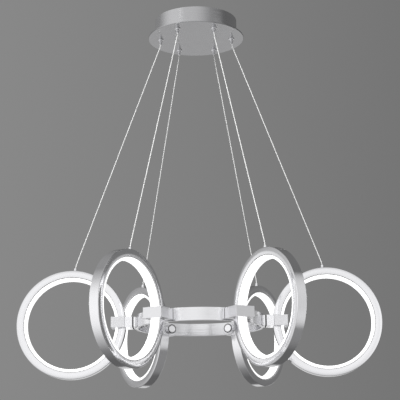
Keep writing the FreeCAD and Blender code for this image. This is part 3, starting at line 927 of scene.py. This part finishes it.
KEPT = {
    "canopy_shell": CANOPY_METAL, "canopy_disc": DISC_METAL,
    "mounting_plate": ZINC, "driver_screws": STEEL, "gripper_nuts": STEEL,
    "clamp_studs": STEEL, "clamp_screws": STEEL,
    "led_driver": moulded("driver_case", (0.8, 0.8, 0.78)),
    "mains_terminal": moulded("terminal_nylon", (0.84, 0.82, 0.76)),
    "junction_box": moulded("junction_case", (0.12, 0.12, 0.125)),
    "driver_leads": moulded("lead_sheath", (0.6, 0.6, 0.59)),
    "led_strips": strip_finish(),
}
for node, finish in KEPT.items():
    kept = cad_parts[node]
    kept.data.materials.clear()
    kept.data.materials.append(finish)


# Surroundings: a grey backdrop, a pale floor far below, and soft studio light

# The backdrop's grey from the left to the right, and how fast it changes with the direction
BACKDROP = [(0.25, 0.247), (0.5, 0.216), (0.75, 0.178)]
BACKDROP_SLOPE = 1.5
FLOOR_Z = -6.0
FLOOR_SIZE = 400.0
FLOOR_GREY = 0.5

# Bright patches of the studio: the way to each, and its brightness by the cosine to that way
PATCHES = [
    ((-0.9, -0.435, -0.03), [(0.0, 0.12), (0.35, 0.22), (0.66, 0.52), (0.9, 0.92), (1.0, 1.0)]),
    ((-0.3, -0.87, 0.39), [(0.2, 0.12), (0.5, 0.34), (0.71, 0.5), (0.9, 0.7), (1.0, 0.77)]),
    ((0.67, -0.24, -0.70), [(0.75, 0.1), (0.93, 0.22), (1.0, 0.24)]),
    ((-0.78, 0.5, 0.38), [(0.6, 0.1), (0.85, 0.3), (1.0, 0.34)]),
    ((0.78, 0.5, 0.38), [(0.6, 0.1), (0.85, 0.16), (1.0, 0.18)]),
    ((0.0, -0.35, 0.94), [(0.78, 0.12), (0.9, 0.36), (1.0, 0.42)]),
    ((0.0, -0.2, -0.98), [(0.78, 0.12), (0.88, 0.3), (1.0, 0.38)]),
]

# Soft boxes: centre, width, height, the point that they face, and their brightness
SOFT_BOXES = {
    "front": ((0.4, -3.0, -0.4), 5.0, 1.7, (0.0, 0.0, -0.7), 0.24),
    "right": ((1.3, -0.7, -0.55), 0.75, 2.0, (0.3, -0.6, -0.6), 0.56),
    "front_right": ((1.9, -3.0, -0.55), 1.6, 1.4, (0.0, 0.0, -0.7), 0.2),
    "left_behind": ((-1.3, 0.45, -0.48), 0.6, 0.3, (0.15, -0.3, -0.65), 0.36),
    "right_behind": ((1.3, 0.6, -0.5), 0.5, 0.2, (-0.15, -0.3, -0.65), 0.3),
    "far_behind": ((0.0, 3.0, -1.35), 3.0, 1.5, (0.0, 0.0, -0.1), 0.52),
    "spark": ((-1.6, -1.8, 0.92), 0.15, 0.15, (0.0, 0.0, -0.05), 2.5),
}

# How much larger a soft box is for its faded edges
SOFT_EDGE = 1.15

# A key lamp that shows in no reflection: its place, where it aims, its size and its light
KEY_SPOT = (-0.9, -2.4, 0.3)
KEY_AIM = (0.0, 0.0, -0.5)
KEY_SIZE = 0.8
KEY_LIGHT = 2.0


def make_world():
    """Grey to the camera, a little lighter at the left. Other rays meet the brightest patch."""
    world = bpy.data.worlds.new("studio")
    bpy.context.scene.world = world
    f = Finish("studio", world)
    way = f.add("ShaderNodeTexCoord")[GENERATED]
    glow = None
    for towards, stops in PATCHES:
        cosine = f.add("ShaderNodeVectorMath", {"operation": "DOT_PRODUCT"}, way, towards)[1]
        patch = f.add("ShaderNodeValToRGB", {"stops": stops}, cosine)[0]
        glow = patch if glow is None else glow.sum("MAXIMUM", glow, patch)
    light = f.add("ShaderNodeBackground", None, Color=glow, Strength=1.0)[0]
    side = f.add("ShaderNodeSeparateXYZ", None, way)[0] * BACKDROP_SLOPE + 0.5
    backdrop = f.add("ShaderNodeValToRGB", {"stops": BACKDROP}, side)[0]
    plain = f.add("ShaderNodeBackground", None, Color=backdrop, Strength=1.0)[0]
    seen = f.add("ShaderNodeLightPath")[0]
    mixed = f.add("ShaderNodeMixShader", None, seen, light, plain)[0]
    f.add("ShaderNodeOutputWorld", None, Surface=mixed)


def make_soft_boxes():
    """Each soft box is a rectangle lamp that the camera doesn't see.

    Its brightness fades to nothing at the edges, as (1 - x ** 4) * (1 - y ** 4), where x and y
    run from -1 to 1 across it. SOFT_EDGE makes it larger, which makes up for most of that.
    """
    for name, (centre, width, height, target, brightness) in SOFT_BOXES.items():
        width, height = width * SOFT_EDGE, height * SOFT_EDGE
        data = bpy.data.lights.new(name, "AREA")
        data.shape = "RECTANGLE"
        data.size, data.size_y = width, height
        data.energy = brightness * math.pi * width * height
        f = Finish(name, data)
        spot = f.add("ShaderNodeSeparateXYZ", None, f.add("ShaderNodeNewGeometry")[PARAMETRIC])
        fade = (1 - (spot[0] * 2 - 1) ** 4) * (1 - (spot[1] * 2 - 1) ** 4)
        glow = f.add("ShaderNodeEmission", None, Strength=fade)[0]
        f.add("ShaderNodeOutputLight", None, glow)
        lamp = bpy.data.objects.new(name, data)
        lamp.visible_camera = False
        lamp.location = centre
        heading = Vector(target) - Vector(centre)
        lamp.rotation_euler = heading.to_track_quat("-Z", "Y").to_euler()
        bpy.context.collection.objects.link(lamp)


def make_key():
    """A soft lamp at the front left that lights cables and plastics. No metal mirrors it."""
    data = bpy.data.lights.new("key", "AREA")
    data.size = KEY_SIZE
    aim = Vector(KEY_AIM) - Vector(KEY_SPOT)
    data.energy = KEY_LIGHT * math.pi * aim.length ** 2
    lamp = bpy.data.objects.new("key", data)
    lamp.visible_camera = lamp.visible_glossy = False
    lamp.location = KEY_SPOT
    lamp.rotation_euler = aim.to_track_quat("-Z", "Y").to_euler()
    bpy.context.collection.objects.link(lamp)


def make_floor():
    """A plain pale floor, so far down that low views stay above it. No metal mirrors it."""
    f = Finish("floor")
    cloud = f.noise(f.add("ShaderNodeTexCoord")[OBJECT], 0.6, 2.0)
    paint = f.close(Base_Color=f.tinted(grey(FLOOR_GREY * 0.96), grey(FLOOR_GREY), cloud),
                    Roughness=0.9)
    half = FLOOR_SIZE / 2
    mesh = bpy.data.meshes.new("floor")
    mesh.from_pydata([(-half, -half, FLOOR_Z), (half, -half, FLOOR_Z), (half, half, FLOOR_Z),
                      (-half, half, FLOOR_Z)], [], [(0, 1, 2, 3)])
    mesh.materials.append(paint)
    floor = bpy.data.objects.new("floor", mesh)
    bpy.context.collection.objects.link(floor)
    floor.visible_glossy = False


make_world()
make_soft_boxes()
make_key()
make_floor()
bpy.context.scene.view_settings.view_transform = "Standard"
